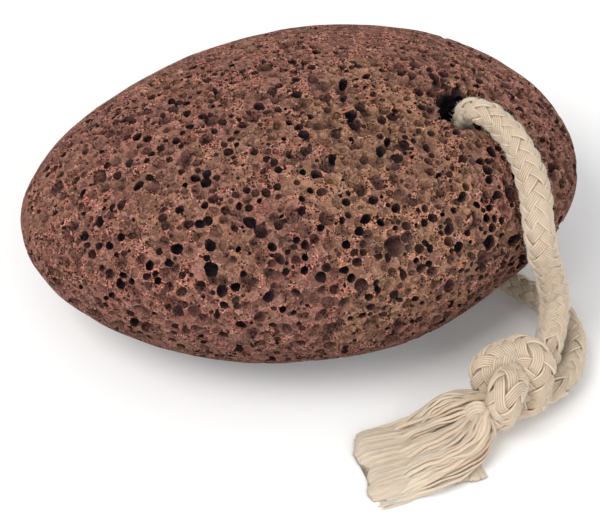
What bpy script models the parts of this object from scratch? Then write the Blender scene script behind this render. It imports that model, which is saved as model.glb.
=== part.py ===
"""A pumice foot stone with a braided cotton cord looped through its drilled end.

The stone is one egg-shaped lump of vesicular lava, worn flat underneath where it rests.
The cord goes down through the hole, its two ends meet in an overhand knot, and below the
knot they lie unravelled as a tassel.  X runs along the stone with the drilled end at +X,
Z is up, and the origin is on the resting face, below the middle of the stone.
"""

import math

import bmesh
import bpy
from mathutils import Matrix, Vector

MM = 0.001
GAP = 0.3 * MM  # between pieces that touch

# the stone
STONE_LENGTH = 100.0 * MM
STONE_WIDTH = 66.0 * MM
STONE_TOP = 20.0 * MM  # from the widest level up to the crown
STONE_BELOW = 22.0 * MM  # from the widest level down to the keel, before it was worn flat
STONE_WORN = 1.0 * MM  # what the flat resting face has taken off the keel
STONE_SQUARENESS = 2.3  # 2 is an elliptical cross-section, more is boxier
STONE_EGG = 0.065  # how much fuller the drilled end is
STONE_POINT = -0.047  # how much both ends taper beyond an ellipse
STONE_SWEEP = 0.42  # how far the underside lifts at the drilled end
STONE_BEND = (3.3 * MM, -0.6 * MM, -1.5 * MM)  # how the middle line drifts in Y along X
STONE_LUMPS = (  # direction from the middle, spread on the unit sphere, height
    ((0.22, -0.95, -0.25), 0.30, 1.0 * MM),
    ((0.68, -0.72, -0.05), 0.28, -1.2 * MM),
)
STONE_SUBDIVISIONS = 5

# the drilled hole, which leans a little so that its foot opens under the lifted end
HOLE_TOP = Vector((28.3, 1.4, 45.0)) * MM
HOLE_FOOT = Vector((31.8, -3.9, -5.0)) * MM
HOLE_DIAMETER = 9.2 * MM
HOLE_SIDES = 32

# the cord
CORD_DIAMETER = 5.8 * MM
CORD_STEP = 0.5 * CORD_DIAMETER  # short, for the tight turns at both mouths of the hole
CORD_ROUTE = (  # from the knot over the stone, down the hole and back to the knot, in mm
    (39.3, -31.4, 8.8),
    (40.5, -29.2, 9.2),
    (41.4, -26.4, 10.4),
    (41.7, -24.2, 13.0),
    (41.0, -23.0, 17.0),
    (39.8, -22.7, 21.4),
    (38.8, -22.6, 25.8),
    (38.3, -21.2, 29.8),
    (38.2, -18.4, 32.7),
    (37.9, -15.2, 34.9),
    (37.2, -11.9, 36.6),
    (36.1, -9.2, 38.0),
    (34.6, -6.9, 39.1),
    (32.7, -5.0, 40.2),
    (30.4, -3.0, 40.4),
    (28.8, -1.0, 38.2),
    (28.8, -0.3, 34.4),
    (29.8, -0.9, 22.0),
    (30.4, -1.9, 12.0),
    (31.0, -3.4, 6.3),
    (32.8, -6.6, 3.5),
    (35.6, -10.4, 3.0),
    (38.8, -13.6, 3.0),
    (42.0, -17.0, 3.0),
    (44.3, -20.9, 3.0),
    (45.0, -25.6, 3.0),
    (44.2, -30.2, 3.1),
    (42.6, -33.8, 3.5),
    (40.4, -36.2, 4.2),
)

# the knot and the tassel
KNOT_CENTRE = Vector((32.5, -37.6, 6.9)) * MM
KNOT_SIZE = Vector((15.6, 17.4, 13.2)) * MM
KNOT_LOBES = 3
KNOT_LOBE_HEIGHT = 0.07  # as a share of the radius
KNOT_SUBDIVISIONS = 4
TASSEL_ROOT = Vector((25.4, -41.2, 4.4)) * MM
TASSEL_TIP = Vector((6.2, -48.6, 1.9)) * MM
TASSEL_ROOT_SIZE = (8.4 * MM, 7.4 * MM)  # across and high
TASSEL_TIP_SIZE = (16.0 * MM, 3.2 * MM)
TASSEL_SECTIONS = 12
TASSEL_SIDES = 24
TASSEL_LOCKS = 6  # ridges that the hanks of yarn make across the tassel
TASSEL_LOCK_HEIGHT = 0.07


def clear_scene():
    for old in list(bpy.data.objects):
        bpy.data.objects.remove(old, do_unlink=True)


def make_material(name, colour, roughness):
    material = bpy.data.materials.new(name)
    material.use_nodes = True
    material.diffuse_color = (*colour, 1.0)
    shader = material.node_tree.nodes["Principled BSDF"]
    shader.inputs["Base Color"].default_value = (*colour, 1.0)
    shader.inputs["Roughness"].default_value = roughness
    shader.inputs["Metallic"].default_value = 0.0
    return material


def lava_material():
    return make_material("red_lava", (0.175, 0.083, 0.061), 0.9)


def cotton_material(name):
    return make_material(name, (0.72, 0.60, 0.45), 0.95)


def shade_smooth(bm):
    for face in bm.faces:
        face.smooth = True


def add_object(name, bm, material):
    """Turn a finished bmesh into a named object with its own material."""
    bmesh.ops.recalc_face_normals(bm, faces=bm.faces)
    mesh = bpy.data.meshes.new(name)
    bm.to_mesh(mesh)
    bm.free()
    obj = bpy.data.objects.new(name, mesh)
    bpy.context.scene.collection.objects.link(obj)
    mesh.materials.append(material)
    return obj


def stone_point(direction):
    """Where the stone's surface lies in a direction on the unit sphere."""
    along = direction.x
    radius = math.hypot(direction.y, direction.z)
    if radius < 1e-9:
        side = Vector((0.0, 0.0))
    else:
        side = Vector((direction.y, direction.z)) / radius
        power = STONE_SQUARENESS
        side /= (abs(side.x) ** power + abs(side.y) ** power) ** (1 / power)
    girth = radius * (1 + STONE_EGG * along + STONE_POINT * along**2)
    lift = 1 - STONE_SWEEP * max(along, 0.0) ** 2
    height = STONE_TOP if side.y > 0 else STONE_BELOW * lift
    drift = sum(bend * along ** (i + 1) for i, bend in enumerate(STONE_BEND))
    point = Vector(
        (
            STONE_LENGTH / 2 * along,
            STONE_WIDTH / 2 * girth * side.x + drift,
            height * girth * side.y + STONE_BELOW - STONE_WORN,
        )
    )
    for towards, spread, rise in STONE_LUMPS:
        away = (direction - Vector(towards).normalized()).length
        point += direction * rise * math.exp(-((away / spread) ** 2))
    return point


def cut_flat(bm, point, outward):
    """Slice off what lies beyond a plane and close the cut with one flat face."""
    geometry = bm.verts[:] + bm.edges[:] + bm.faces[:]
    bmesh.ops.bisect_plane(
        bm, geom=geometry, plane_co=point, plane_no=outward, clear_outer=True
    )
    open_edges = [edge for edge in bm.edges if edge.is_boundary]
    cap = bmesh.ops.holes_fill(bm, edges=open_edges)
    for face in cap["faces"]:
        face.smooth = False


def hole_cutter():
    bm = bmesh.new()
    axis = HOLE_TOP - HOLE_FOOT
    middle = (HOLE_TOP + HOLE_FOOT) / 2
    turn = axis.to_track_quat("Z", "Y").to_matrix().to_4x4()
    bmesh.ops.create_cone(
        bm,
        cap_ends=True,
        segments=HOLE_SIDES,
        radius1=HOLE_DIAMETER / 2,
        radius2=HOLE_DIAMETER / 2,
        depth=axis.length,
        matrix=Matrix.Translation(middle) @ turn,
    )
    cutter = add_object("hole_cutter", bm, lava_material())
    cutter.display_type = "WIRE"
    cutter.hide_render = True
    return cutter


def make_stone():
    bm = bmesh.new()
    bmesh.ops.create_icosphere(bm, subdivisions=STONE_SUBDIVISIONS, radius=1.0)
    for vertex in bm.verts:
        vertex.co = stone_point(vertex.co.normalized())
    shade_smooth(bm)
    cut_flat(bm, Vector((0, 0, 0)), Vector((0, 0, -1)))
    stone = add_object("stone", bm, lava_material())
    drill = stone.modifiers.new("drilled_hole", "BOOLEAN")
    drill.operation = "DIFFERENCE"
    drill.solver = "EXACT"
    drill.object = hole_cutter()
    return stone


def smooth_route(route, step):
    """Evenly spaced points on a Catmull-Rom curve through a route's own points."""
    knots = [Vector(point) * MM for point in route]
    knots = [2 * knots[0] - knots[1], *knots, 2 * knots[-1] - knots[-2]]
    fine = []
    for p0, p1, p2, p3 in zip(knots, knots[1:], knots[2:], knots[3:]):
        for i in range(24):
            t = i / 24
            bend = 2 * p0 - 5 * p1 + 4 * p2 - p3
            twist = 3 * p1 - p0 - 3 * p2 + p3
            fine.append((2 * p1 + (p2 - p0) * t + bend * t**2 + twist * t**3) / 2)
    fine.append(knots[-2])
    length = sum((b - a).length for a, b in zip(fine, fine[1:]))
    spacing = length / round(length / step)
    points = [fine[0]]
    travelled = 0.0
    for a, b in zip(fine, fine[1:]):
        piece = (b - a).length
        while travelled + piece >= spacing * len(points) - 1e-9:
            along = (spacing * len(points) - travelled) / piece
            points.append(a.lerp(b, along))
        travelled += piece
    points[-1] = fine[-1]
    return points


def make_cord(points):
    curve = bpy.data.curves.new("cord_loop", "CURVE")
    curve.dimensions = "3D"
    curve.bevel_depth = CORD_DIAMETER / 2
    curve.bevel_resolution = 2
    curve.use_fill_caps = True
    spline = curve.splines.new("POLY")
    spline.points.add(len(points) - 1)
    for target, point in zip(spline.points, points):
        target.co = (*point, 1.0)
    spline.use_smooth = True
    curve.materials.append(cotton_material("cord_cotton"))
    cord = bpy.data.objects.new("cord_loop", curve)
    bpy.context.scene.collection.objects.link(cord)
    return cord


def make_knot(points):
    """The overhand knot's outer shape, flat where the cord and the tassel meet it."""
    bm = bmesh.new()
    bmesh.ops.create_icosphere(bm, subdivisions=KNOT_SUBDIVISIONS, radius=1.0)
    for vertex in bm.verts:
        way = vertex.co.normalized()
        turn = math.atan2(way.y, way.x)
        lobe = math.cos(KNOT_LOBES * turn + 4.0 * way.z)
        reach = 1 + KNOT_LOBE_HEIGHT * lobe * math.hypot(way.x, way.y)
        vertex.co = KNOT_CENTRE + way * reach * KNOT_SIZE / 2
    shade_smooth(bm)
    for end, before in ((points[0], points[1]), (points[-1], points[-2])):
        outward = (before - end).normalized()
        cut_flat(bm, end - outward * GAP, outward)
    tassel_way = (TASSEL_TIP - TASSEL_ROOT).normalized()
    cut_flat(bm, TASSEL_ROOT - tassel_way * GAP, tassel_way)
    return add_object("knot", bm, cotton_material("knot_cotton"))


def make_tassel():
    """The unravelled ends as one flat fan of locks, from the knot to the cut tips."""
    bm = bmesh.new()
    way = (TASSEL_TIP - TASSEL_ROOT).normalized()
    across = way.cross(Vector((0, 0, 1))).normalized()
    upward = across.cross(way)
    rings = []
    for i in range(TASSEL_SECTIONS):
        t = i / (TASSEL_SECTIONS - 1)
        spread = math.sin(t * math.pi / 2)
        centre = TASSEL_ROOT.lerp(TASSEL_TIP, t)
        wide = TASSEL_ROOT_SIZE[0] + (TASSEL_TIP_SIZE[0] - TASSEL_ROOT_SIZE[0]) * spread
        high = TASSEL_ROOT_SIZE[1] + (TASSEL_TIP_SIZE[1] - TASSEL_ROOT_SIZE[1]) * t
        ring = []
        for j in range(TASSEL_SIDES):
            turn = 2 * math.pi * j / TASSEL_SIDES
            ridge = 1 + TASSEL_LOCK_HEIGHT * t * math.cos(TASSEL_LOCKS * turn)
            side = across * math.cos(turn) * wide / 2 + upward * math.sin(turn) * high / 2
            ring.append(bm.verts.new(centre + side * ridge))
        rings.append(ring)
    for first, second in zip(rings, rings[1:]):
        for j in range(TASSEL_SIDES):
            k = (j + 1) % TASSEL_SIDES
            bm.faces.new((first[j], first[k], second[k], second[j]))
    shade_smooth(bm)
    bm.faces.new(rings[0])
    bm.faces.new(rings[-1])
    return add_object("tassel", bm, cotton_material("tassel_cotton"))


def main():
    clear_scene()
    points = smooth_route(CORD_ROUTE, CORD_STEP)
    make_stone()
    make_cord(points)
    make_knot(points)
    make_tassel()


main()
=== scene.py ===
import math

import bmesh
import bpy
import numpy as np
from mathutils import Matrix, Vector, noise
from mathutils.bvhtree import BVHTree


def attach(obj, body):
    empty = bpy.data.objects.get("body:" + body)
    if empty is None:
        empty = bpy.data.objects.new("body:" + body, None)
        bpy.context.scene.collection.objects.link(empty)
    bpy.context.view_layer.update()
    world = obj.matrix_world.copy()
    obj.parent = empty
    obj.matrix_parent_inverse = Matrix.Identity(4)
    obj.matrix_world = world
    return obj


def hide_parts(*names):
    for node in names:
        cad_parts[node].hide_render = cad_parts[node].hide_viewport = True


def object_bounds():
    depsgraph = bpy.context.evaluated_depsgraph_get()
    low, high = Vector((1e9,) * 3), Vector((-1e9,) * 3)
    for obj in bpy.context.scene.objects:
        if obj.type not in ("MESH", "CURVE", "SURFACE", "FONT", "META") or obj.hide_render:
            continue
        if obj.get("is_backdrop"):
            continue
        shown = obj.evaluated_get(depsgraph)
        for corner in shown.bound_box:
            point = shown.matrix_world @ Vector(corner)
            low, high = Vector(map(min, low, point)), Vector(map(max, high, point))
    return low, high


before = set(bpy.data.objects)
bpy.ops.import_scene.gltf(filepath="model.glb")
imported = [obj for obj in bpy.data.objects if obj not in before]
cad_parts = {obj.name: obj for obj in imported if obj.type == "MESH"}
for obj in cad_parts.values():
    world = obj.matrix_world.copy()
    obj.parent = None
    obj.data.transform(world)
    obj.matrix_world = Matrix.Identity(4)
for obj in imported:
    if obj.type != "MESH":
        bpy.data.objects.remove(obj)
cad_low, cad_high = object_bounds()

scene = bpy.context.scene
scene.view_settings.view_transform = "Standard"


# ---- Studio -----------------------------------------------------------------
# A pale matt table top, one broad soft lamp from the front left, a weaker one
# from the right, and a camera that looks down on the stone from the front.
LOOK_AT = Vector((0.000076, 0.000933, 0.0))
CAMERA_TURN = math.radians(-8)
CAMERA_RISE = math.radians(50)
CAMERA_FAR = 0.5
CAMERA_LENS = 163.15
TABLE_GAP = 0.00015

camera_lens = bpy.data.cameras.new("camera")
camera_lens.lens = CAMERA_LENS
camera_lens.clip_start = 0.01
camera = bpy.data.objects.new("camera", camera_lens)
camera.location = LOOK_AT + CAMERA_FAR * Vector((
    math.sin(CAMERA_TURN) * math.cos(CAMERA_RISE),
    -math.cos(CAMERA_TURN) * math.cos(CAMERA_RISE),
    math.sin(CAMERA_RISE),
))
camera.rotation_euler = (math.pi / 2 - CAMERA_RISE, 0, CAMERA_TURN)
scene.collection.objects.link(camera)
scene.camera = camera


def lamp(name, place, aim, width, watts, tint):
    """A square soft box that points at aim."""
    light = bpy.data.lights.new(name, "AREA")
    light.size = width
    light.energy = watts
    light.color = tint
    holder = bpy.data.objects.new(name, light)
    holder.location = place
    holder.rotation_euler = (Vector(place) - Vector(aim)).to_track_quat("Z", "Y").to_euler()
    scene.collection.objects.link(holder)


def fill(node, inputs):
    """Gives each input of a node its value, or links it to the output it comes from."""
    for name, value in inputs.items():
        if isinstance(value, bpy.types.NodeSocket):
            node.id_data.links.new(value, node.inputs[name])
        else:
            node.inputs[name].default_value = value


lamp("key_box", (-0.56, -0.28, 0.96), (0, 0, 0.01), 0.6, 7.9, (1.0, 0.985, 0.96))
lamp("side_box", (0.45, -0.95, 0.55), (0, 0, 0.01), 0.8, 4.0, (0.97, 0.98, 1.0))

world = bpy.data.worlds.new("soft_room")
world.use_nodes = True
fill(world.node_tree.nodes["Background"], {"Color": (1.0, 1.0, 1.0, 1), "Strength": 0.70})
scene.world = world

top = bmesh.new()
bmesh.ops.create_grid(top, x_segments=2, y_segments=2, size=2.0)
bmesh.ops.translate(top, verts=top.verts, vec=(0, 0, -TABLE_GAP))
table_mesh = bpy.data.meshes.new("table_top")
top.to_mesh(table_mesh)
top.free()
table_top = bpy.data.objects.new("table_top", table_mesh)
scene.collection.objects.link(table_top)
table_top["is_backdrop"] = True

table_paint = bpy.data.materials.new("matt_white_table")
table_paint.use_nodes = True
fill(table_paint.node_tree.nodes["Principled BSDF"], {
    "Base Color": (0.93, 0.93, 0.93, 1),
    "Roughness": 0.9,
    "Specular IOR Level": 0.1,
})
table_mesh.materials.append(table_paint)


# ---- Cord -------------------------------------------------------------------
# The hanging loop: a limp round cord of soft unbleached cotton, braided from
# six flat strands each way, every strand five yarns side by side. It goes
# through the drilled hole and both its ends run into the knot.
MM = 0.001
STEP = 0.35 * MM
CORD_LENGTH = 0.1266
CORD_DIAMETER = 0.0058
CORD_ROUTE = [
    (0.0393, -0.0314, 0.0088), (0.0405, -0.0292, 0.0092), (0.0414, -0.0264, 0.0104),
    (0.0417, -0.0242, 0.0130), (0.0410, -0.0230, 0.0170), (0.0398, -0.0227, 0.0214),
    (0.0388, -0.0226, 0.0258), (0.0383, -0.0212, 0.0298), (0.0382, -0.0184, 0.0327),
    (0.0379, -0.0152, 0.0349), (0.0372, -0.0119, 0.0366), (0.0361, -0.0092, 0.0380),
    (0.0346, -0.0069, 0.0391), (0.0327, -0.0050, 0.0402), (0.0304, -0.0030, 0.0404),
    (0.0288, -0.0010, 0.0382), (0.0288, -0.0003, 0.0344), (0.0298, -0.0009, 0.0220),
    (0.0304, -0.0019, 0.0120), (0.0310, -0.0034, 0.0063), (0.0328, -0.0066, 0.0035),
    (0.0356, -0.0104, 0.0030), (0.0388, -0.0136, 0.0030), (0.0420, -0.0170, 0.0030),
    (0.0443, -0.0209, 0.0030), (0.0450, -0.0256, 0.0030), (0.0442, -0.0302, 0.0031),
    (0.0426, -0.0338, 0.0035), (0.0404, -0.0362, 0.0042),
]
BRAID_LAY = 0.0150
CORE_SIDES = 14
HAIRS_ON_CORD = 5000
# Stray hairs: the shortest, the longest and how thick.
CORD_HAIR = (0.0004, 0.0009, 0.000022)
STRANDS_EACH_WAY = 6
STRAND_THICK = 0.00092
# One strand across: how far to the side and how far out, in strand widths and
# thicknesses, and how much of a crown each point is (five yarns side by side);
# the low points between the crowns are painted darker as shade.
HALF_STRAND = [
    (0.44, -0.34, 0.0), (0.57, -0.04, 0.3), (0.44, 0.34, 1.0), (0.33, 0.10, 0.0),
    (0.22, 0.48, 1.0), (0.11, 0.20, 0.0),
]
OTHER_HALF = [(-x, y, crown) for x, y, crown in reversed(HALF_STRAND)]
STRAND_SHAPE = [(0.0, -0.45, 0.0), *HALF_STRAND, (0.0, 0.52, 1.0), *OTHER_HALF]


def smooth_line(points, step):
    """A round line through the points, cut into even steps."""
    p = np.array(points, dtype=float)
    p = np.vstack([2 * p[0] - p[1], p, 2 * p[-1] - p[-2]])
    t = np.linspace(0, 1, 24, endpoint=False)[:, None]
    parts = []
    for a, b, c, d in zip(p[:-3], p[1:-2], p[2:-1], p[3:]):
        bend = (2 * a - 5 * b + 4 * c - d) * t ** 2 + (3 * b - a - 3 * c + d) * t ** 3
        parts.append(0.5 * (2 * b + (c - a) * t + bend))
    line = np.vstack([*parts, p[-2:-1]])
    run = distance_along(line)
    even = np.linspace(0, run[-1], int(round(run[-1] / step)) + 1)
    return np.column_stack([np.interp(even, run, line[:, k]) for k in range(3)])


def distance_along(line):
    """How far along it each point of a line is."""
    return np.concatenate([[0], np.cumsum(np.linalg.norm(np.diff(line, axis=0), axis=1))])


def eased(line, reach):
    """The line with its sharp bends eased over so many steps, its ends kept."""
    weights = np.hanning(2 * reach + 3)[1:-1]
    before = 2 * line[0] - line[reach:0:-1]
    after = 2 * line[-1] - line[-2:-reach - 2:-1]
    longer = np.vstack([before, line, after])
    weights = weights / weights.sum()
    return np.column_stack([np.convolve(longer[:, k], weights, "valid") for k in range(3)])


def unit(vectors):
    """Vectors made one long."""
    return vectors / np.linalg.norm(vectors, axis=-1, keepdims=True)


def carried_axes(line):
    """The direction of a line and two directions across it that never twist."""
    along = unit(np.gradient(line, axis=0))
    start = np.cross(along[0], (0.0, 0.0, 1.0))
    if np.linalg.norm(start) < 0.1:
        start = np.cross(along[0], (1.0, 0.0, 0.0))
    side = [start / np.linalg.norm(start)]
    for ahead in along[1:]:
        carried = side[-1] - ahead * side[-1].dot(ahead)
        side.append(carried / np.linalg.norm(carried))
    side = np.array(side)
    return along, side, np.cross(along, side)


def ways_out(turn, side, up):
    """The way out from a line at each turn round it."""
    return np.cos(turn)[..., None] * side + np.sin(turn)[..., None] * up


class Skin:
    """Collects closed tubes, each with what the yarn material reads at every point."""

    def __init__(self):
        self.points = []
        self.faces = []
        self.yarn = []
        self.count = 0

    def add(self, rings, along, around, raised, tone):
        """rings is steps x points round x 3, counter-clockwise seen from the far end."""
        steps, sides = rings.shape[:2]
        number = np.arange(steps * sides).reshape(steps, sides) + self.count
        after = np.roll(number, -1, axis=1)
        quads = np.stack([number[:-1], after[:-1], after[1:], number[1:]], axis=-1)
        self.faces += quads.reshape(-1, 4).tolist()
        self.faces.append(number[0][::-1].tolist())
        self.faces.append(number[-1].tolist())
        self.points.append(rings.reshape(-1, 3))
        yarn = np.zeros((steps, sides, 4))
        for k, value in enumerate((along, around, raised, tone)):
            yarn[..., k] = value
        self.yarn.append(yarn.reshape(-1, 4))
        self.count += steps * sides

    def make(self, name, material):
        """The finished piece, smooth, at the origin."""
        mesh = bpy.data.meshes.new(name)
        mesh.from_pydata(np.vstack(self.points).tolist(), [], self.faces)
        layer = mesh.attributes.new("yarn", "FLOAT_COLOR", "POINT")
        layer.data.foreach_set("color", np.vstack(self.yarn).astype(np.float32).ravel())
        mesh.polygons.foreach_set("use_smooth", [True] * len(mesh.polygons))
        mesh.materials.append(material)
        mesh.update()
        piece = bpy.data.objects.new(name, mesh)
        scene.collection.objects.link(piece)
        return piece


def braid(skin, line, across, lay, seed):
    """Flat strands round a line, as many each way, over two and under two."""
    dice = np.random.default_rng(seed)
    along, side, up = carried_axes(line)
    run = distance_along(line)
    shape = np.array(STRAND_SHAPE)
    # The yarns inside, which close the gaps between the strands, painted in the darker warm tone as
    # the shade between them.
    turn = np.arange(CORE_SIDES) * 2 * np.pi / CORE_SIDES
    core_thick = (across / 2 - 1.02 * STRAND_THICK)[:, None, None]
    core = line[:, None] + core_thick * ways_out(turn, side[:, None], up[:, None])
    skin.add(core[2:-2], run[2:-2, None] * 1000, np.arange(CORE_SIDES) * 0.28, 0.25, 0)
    for k in range(2 * STRANDS_EACH_WAY):
        way = 1 if k < STRANDS_EACH_WAY else -1
        wander = 0.05 * np.sin(run * dice.uniform(250, 600) + dice.uniform(0, 6.3))
        turn = 2 * np.pi * (way * run / lay + k / STRANDS_EACH_WAY) + wander
        over = way * np.tanh(1.5 * np.cos(STRANDS_EACH_WAY / 2 * turn - np.pi / 4)) / np.tanh(1.5)
        slack = 0.00010 * np.sin(run * dice.uniform(300, 900) + dice.uniform(0, 6.3))
        out_by = across / 2 - STRAND_THICK * (1 - over / 2) + slack
        out = ways_out(turn, side, up)
        middle = line + out_by[:, None] * out
        ahead = unit(np.gradient(middle, axis=0))
        across_way = unit(np.cross(out, ahead))
        outward = np.cross(ahead, across_way)
        lean = np.cos(np.arctan(2 * np.pi * (across / 2 - STRAND_THICK) / lay))
        wide = 2 * np.pi * (across / 2 - STRAND_THICK) / STRANDS_EACH_WAY * lean
        wide = wide * dice.uniform(0.98, 1.12)
        rings = (
            middle[:, None, :]
            + (wide[:, None] * shape[:, 0])[..., None] * across_way[:, None, :]
            + STRAND_THICK * dice.uniform(0.95, 1.1) * shape[None, :, 1, None] * outward[:, None, :]
        )
        skin.add(
            rings,
            (run * 1000 + dice.uniform(0, 50))[:, None],
            np.arange(len(shape)) * 0.28,
            shape[:, 2] * (0.75 + 0.25 * over[:, None]),
            dice.uniform(0, 1),
        )


def stray_fibres(skin, roots, outs, aheads, dice, shortest, longest, thick):
    """Fine hairs of cotton that stand off the yarn and curl over."""
    count = len(roots)
    steps = 3
    corners = np.arange(3) * 2 * np.pi / 3
    radius = thick * np.linspace(1, 0.4, steps)[:, None, None]
    outs = unit(outs + 0.7 * dice.normal(size=(count, 3)))
    leans = unit(aheads * dice.uniform(-1, 1, (count, 1)) + 0.6 * dice.normal(size=(count, 3)))
    reach = dice.uniform(shortest, longest, count)
    t = np.linspace(0, 1, steps)[:, None]
    for root, out, lean, far in zip(roots, outs, leans, reach):
        line = root + far * (t * out * 0.75 + t ** 2 * lean * 0.6)
        line[:, 2] = np.maximum(line[:, 2], 0.00005)
        ahead = unit(np.gradient(line, axis=0) + 1e-9)
        across_way = unit(np.cross(ahead, (0.31, 0.52, 0.79)))
        up = np.cross(ahead, across_way)
        rings = line[:, None] + radius * ways_out(corners, across_way[:, None], up[:, None])
        skin.add(rings, 0, 0, 0.9, 0.5)


def node_makers(tree):
    """Two makers of nodes in a tree: any node, and one sum, of which only the result."""
    def add(kind, inputs, **settings):
        node = tree.nodes.new("ShaderNode" + kind)
        for name, value in settings.items():
            setattr(node, name, value)
        fill(node, inputs)
        return node

    def reckon(kind, *values):
        return add("Math", dict(enumerate(values)), operation=kind).outputs[0]

    return add, reckon


def spun_cotton_group():
    """Colour and height of spun cotton yarn, read from the yarn attribute; the colour holds painted
    shade, a darker warm tone in the low parts between yarns and strands.
    """
    tree = bpy.data.node_groups.new("spun_cotton", "ShaderNodeTree")
    for name, way, kind in (
        ("Pale", "INPUT", "Color"), ("Warm", "INPUT", "Color"), ("Crown", "INPUT", "Float"),
        ("Colour", "OUTPUT", "Color"), ("Height", "OUTPUT", "Float"),
    ):
        tree.interface.new_socket(name, in_out=way, socket_type="NodeSocket" + kind)
    add, reckon = node_makers(tree)
    given = tree.nodes.new("NodeGroupInput").outputs
    yarn = add("Attribute", {}, attribute_name="yarn").outputs
    along, around, raised = add("SeparateColor", {"Color": yarn["Color"]}).outputs

    # Twisted fibres: streaks that lean across the yarn.
    place = add("CombineXYZ", {
        "X": reckon("MULTIPLY_ADD", along, 2.4, reckon("MULTIPLY", around, 5.0)),
        "Y": reckon("MULTIPLY", along, 0.4),
        "Z": reckon("MULTIPLY", yarn["Alpha"], 40.0),
    }).outputs[0]
    fibres = add("TexNoise", {"Vector": place, "Scale": 1.3, "Detail": 3}).outputs["Fac"]

    # Wide soft patches where the cotton is a little warmer or greyer.
    where = add("TexCoord", {}).outputs["Object"]
    patches = add("TexNoise", {"Vector": where, "Scale": 160, "Detail": 2}).outputs["Fac"]
    # Painted shade: the low parts between yarns and strands take the darker warm tone.
    light = reckon("MULTIPLY_ADD", raised, given["Crown"], 0.15)
    light = reckon("MULTIPLY_ADD", fibres, 0.5, light)
    light = reckon("MULTIPLY_ADD", patches, 0.5, light)
    spread = add("MapRange", {"Value": light, "From Min": 0.35, "From Max": 1.15}).outputs[0]
    tones = {"Factor": spread, "A": given["Warm"], "B": given["Pale"]}
    fill(tree.nodes.new("NodeGroupOutput"), {
        "Colour": add("Mix", tones, data_type="RGBA").outputs["Result"],
        "Height": reckon("MULTIPLY_ADD", raised, 0.3, fibres),
    })
    return tree


spun_cotton = spun_cotton_group()


def cotton(name, pale, warm_and_shade, crown, bump):
    """A soft matt cotton in two close tones; the warm one is also painted as shade into the low parts
    between the yarns.
    """
    material = bpy.data.materials.new(name)
    material.use_nodes = True
    add, _ = node_makers(material.node_tree)
    tones = {"Pale": (*pale, 1), "Warm": (*warm_and_shade, 1), "Crown": crown}
    look = add("Group", tones, node_tree=spun_cotton)
    relief = {"Strength": bump, "Distance": 0.0002, "Height": look.outputs["Height"]}
    fill(material.node_tree.nodes["Principled BSDF"], {
        "Base Color": look.outputs["Colour"],
        "Normal": add("Bump", relief).outputs["Normal"],
        "Roughness": 0.9,
        "Specular IOR Level": 0.15,
        "Sheen Weight": 0.25,
        "Sheen Roughness": 0.6,
        "Subsurface Weight": 0.35,
        "Subsurface Radius": (1.0, 0.60, 0.36),
        "Subsurface Scale": 0.0006,
    })
    return material


cord_cotton = cotton("unbleached_cotton_cord", (0.715, 0.578, 0.438), (0.34, 0.21, 0.13), 0.85, 1.0)

cord_line = eased(smooth_line(CORD_ROUTE, STEP), 9)
cord_skin = Skin()
# It is plump where it hangs free and pinched where it goes into the stone.
cord_across = CORD_DIAMETER * np.interp(
    distance_along(cord_line) / CORD_LENGTH,
    [0.0, 0.03, 0.12, 0.24, 0.33, 0.38, 0.42, 0.46, 0.60, 0.80, 0.90, 1.0],
    [0.90, 0.94, 0.97, 1.00, 0.92, 0.83, 0.72, 0.68, 0.68, 0.80, 0.98, 0.92],
)
braid(cord_skin, cord_line, cord_across, BRAID_LAY, 11)
cord = cord_skin.make("cord", cord_cotton)
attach(cord, "root")
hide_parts("cord_loop")


def fuzz_on_line(skin, line, across, count, seed):
    """Stray fibres all round a cord."""
    dice = np.random.default_rng(seed)
    along, side, up = carried_axes(line)
    at = dice.integers(2, len(line) - 2, count)
    out = ways_out(dice.uniform(0, 2 * np.pi, count), side[at], up[at])
    roots = line[at] + out * (across[at, None] / 2 - 0.0002)
    stray_fibres(skin, roots, out, along[at], dice, *CORD_HAIR)


fuzz_skin = Skin()
fuzz_on_line(fuzz_skin, cord_line, cord_across, HAIRS_ON_CORD, 5)
cord_fuzz = fuzz_skin.make("cord_fuzz", cord_cotton)
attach(cord_fuzz, "root")


# ---- Knot -------------------------------------------------------------------
# Both ends of the cord tied together in one overhand knot and pulled tight, so
# that the braid swells and the turns press into each other. Routes are in mm.
FRONT_LEG_IN_KNOT = [
    (40.5, -29.2, 9.2), (39.3, -31.4, 8.8), (39, -31.9, 7.6), (38.5, -32.3, 6), (37.4, -32.9, 5),
    (35.7, -34.2, 5.6), (33.8, -36.3, 7.6), (31.9, -38.7, 9.8), (30.4, -41.1, 11.2), (29.6, -42.6, 11),
    (29.4, -42.8, 9.2), (29.3, -42.3, 6.6), (29, -41.7, 4.6), (27.9, -41, 3.7), (26.6, -40.2, 3.7),
    (25.5, -39.6, 4), (24.2, -39.8, 4.2),
]
BACK_LEG_IN_KNOT = [
    (42.6, -33.8, 3.5), (40.4, -36.2, 4.2), (38.9, -36.4, 3.7), (36.8, -36.3, 3.3), (34.3, -36.4, 3.3),
    (31.8, -36.3, 3.4), (29.6, -36.3, 4.3), (28.2, -36.1, 6.1), (27.7, -35.8, 7.9), (28.2, -35.2, 9.3),
    (29.4, -34.7, 10.3), (31, -34.5, 11), (32.7, -34.6, 11.7), (34.3, -35.2, 12.3),
    (35.5, -36.4, 12.5), (36, -37.5, 11.6), (36, -38.3, 10), (35.7, -38.8, 8.2), (35.4, -39.1, 6.4),
    (34.8, -39.3, 4.8), (33.4, -39, 3.7), (31.2, -38.8, 3.4), (28.8, -38.9, 3.3), (26.2, -39.8, 3.2),
]
KNOT_CORD = 0.0066
KNOT_LAY = 0.0135
HAIRS_IN_KNOT = 1500

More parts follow.
